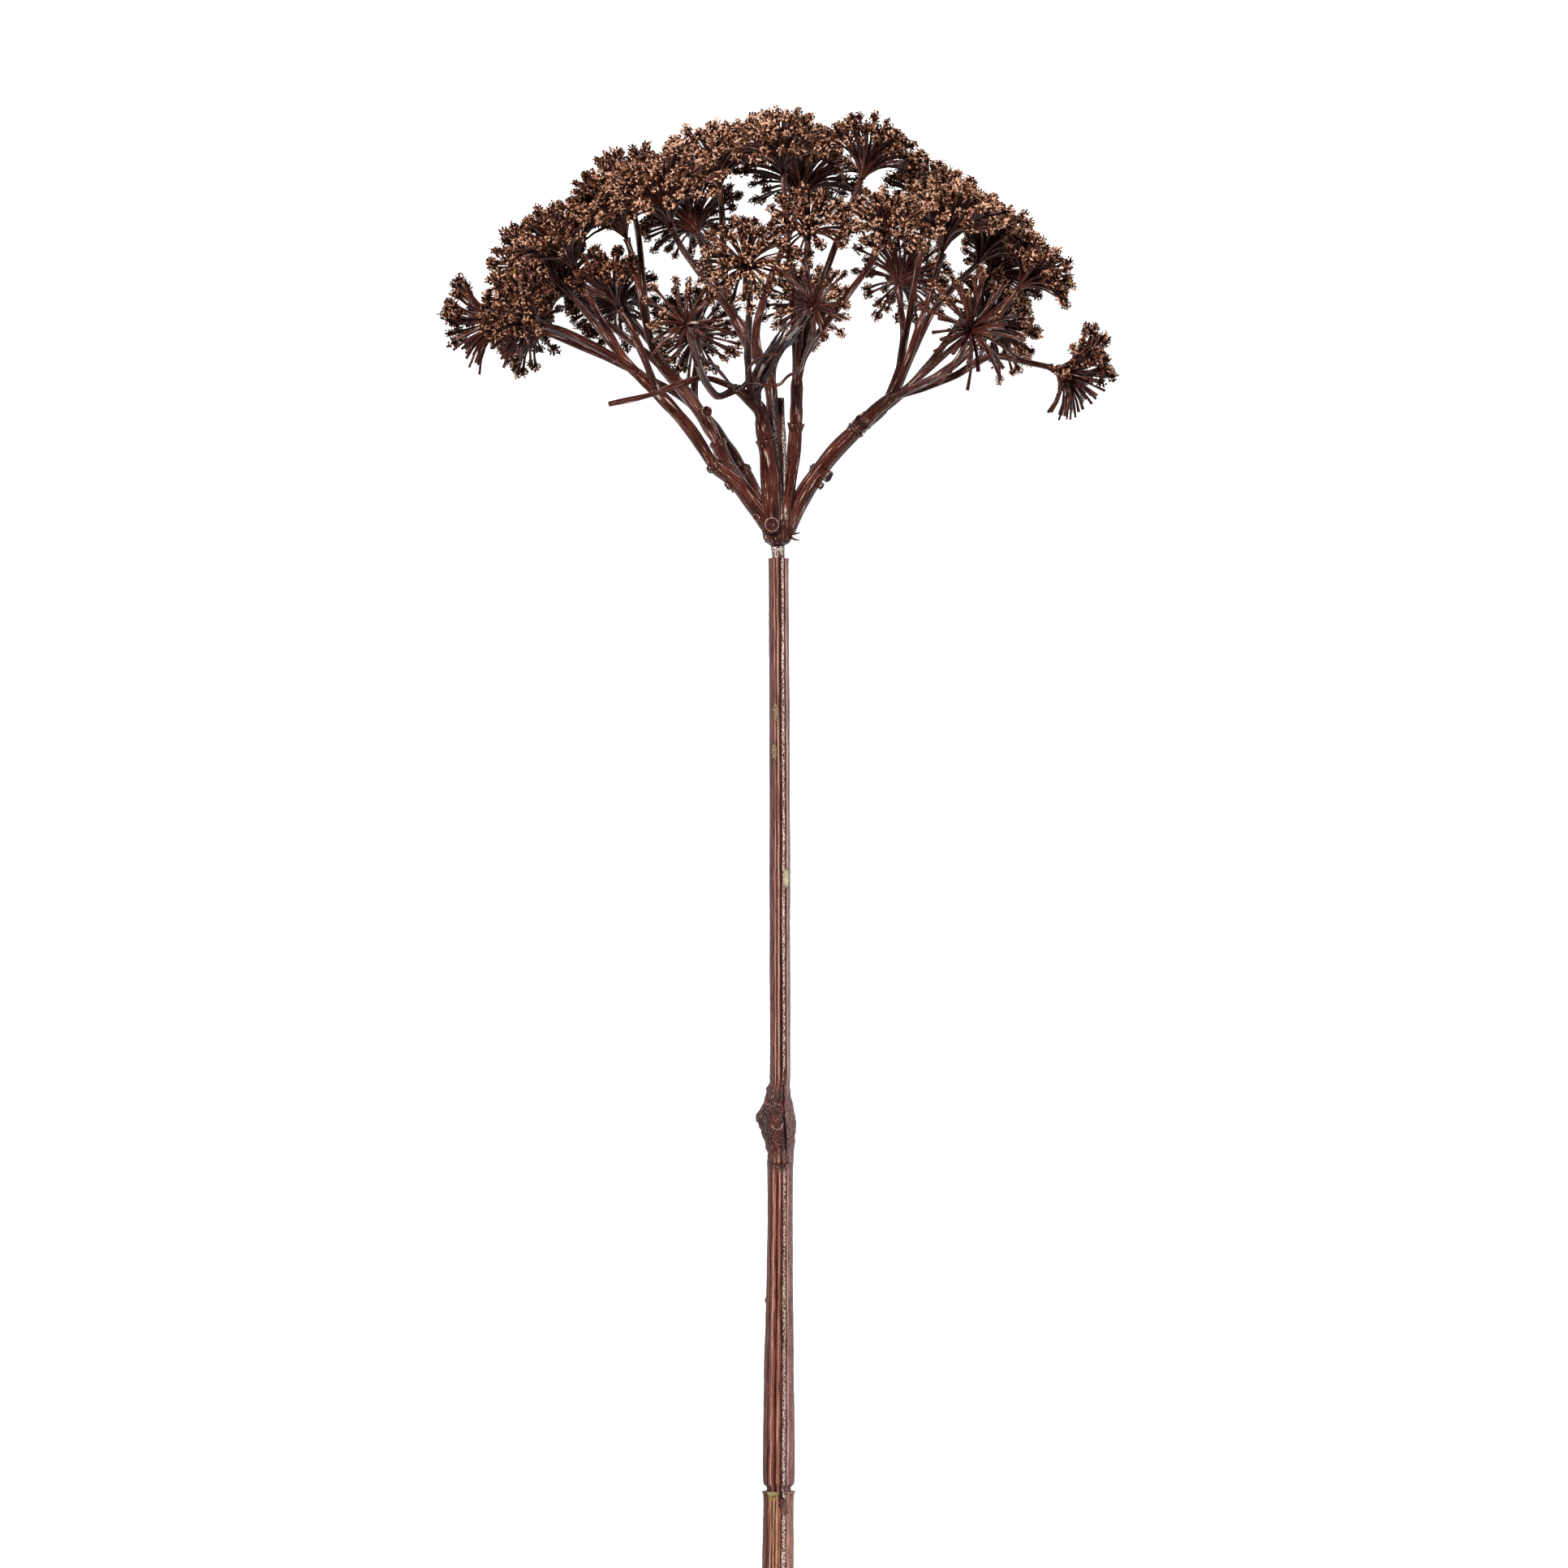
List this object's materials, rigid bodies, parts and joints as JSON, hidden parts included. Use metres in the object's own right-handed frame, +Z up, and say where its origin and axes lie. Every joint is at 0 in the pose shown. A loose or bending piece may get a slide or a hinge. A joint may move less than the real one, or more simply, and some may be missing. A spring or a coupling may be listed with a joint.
{
  "type": "dried queen annes lace stem",
  "caption": "Dried, dark brown Queen Anne's lace cut stem with a wide compound umbel of crumbly florets on forked rays, lying on its side.",
  "frame": {"origin": "on the surface the stem lies on, at the middle of its footprint", "axes": "+Z up from the surface, +Y along the stem from the cut end towards the head, +X across the head"},
  "size_m": [0.2302, 0.6236, 0.1696],
  "materials": {
    "stem": "dry ribbed stalk, red-brown, satin",
    "branch": "dark reddish-brown, semi-gloss",
    "floret": "crumbly coppery-brown florets on dark rays"
  },
  "bodies": {
    "root": {"stem_lower": "stem", "stem_middle": "stem", "stem_upper": "stem", "head_hub": "branch", "spray_left": "floret", "spray_left_inner": "floret", "spray_centre": "floret", "spray_right_centre": "floret", "spray_right": "floret", "spray_crown": "floret", "spray_back_left": "floret", "spray_back_right": "floret"}
  },
  "joints": []
}
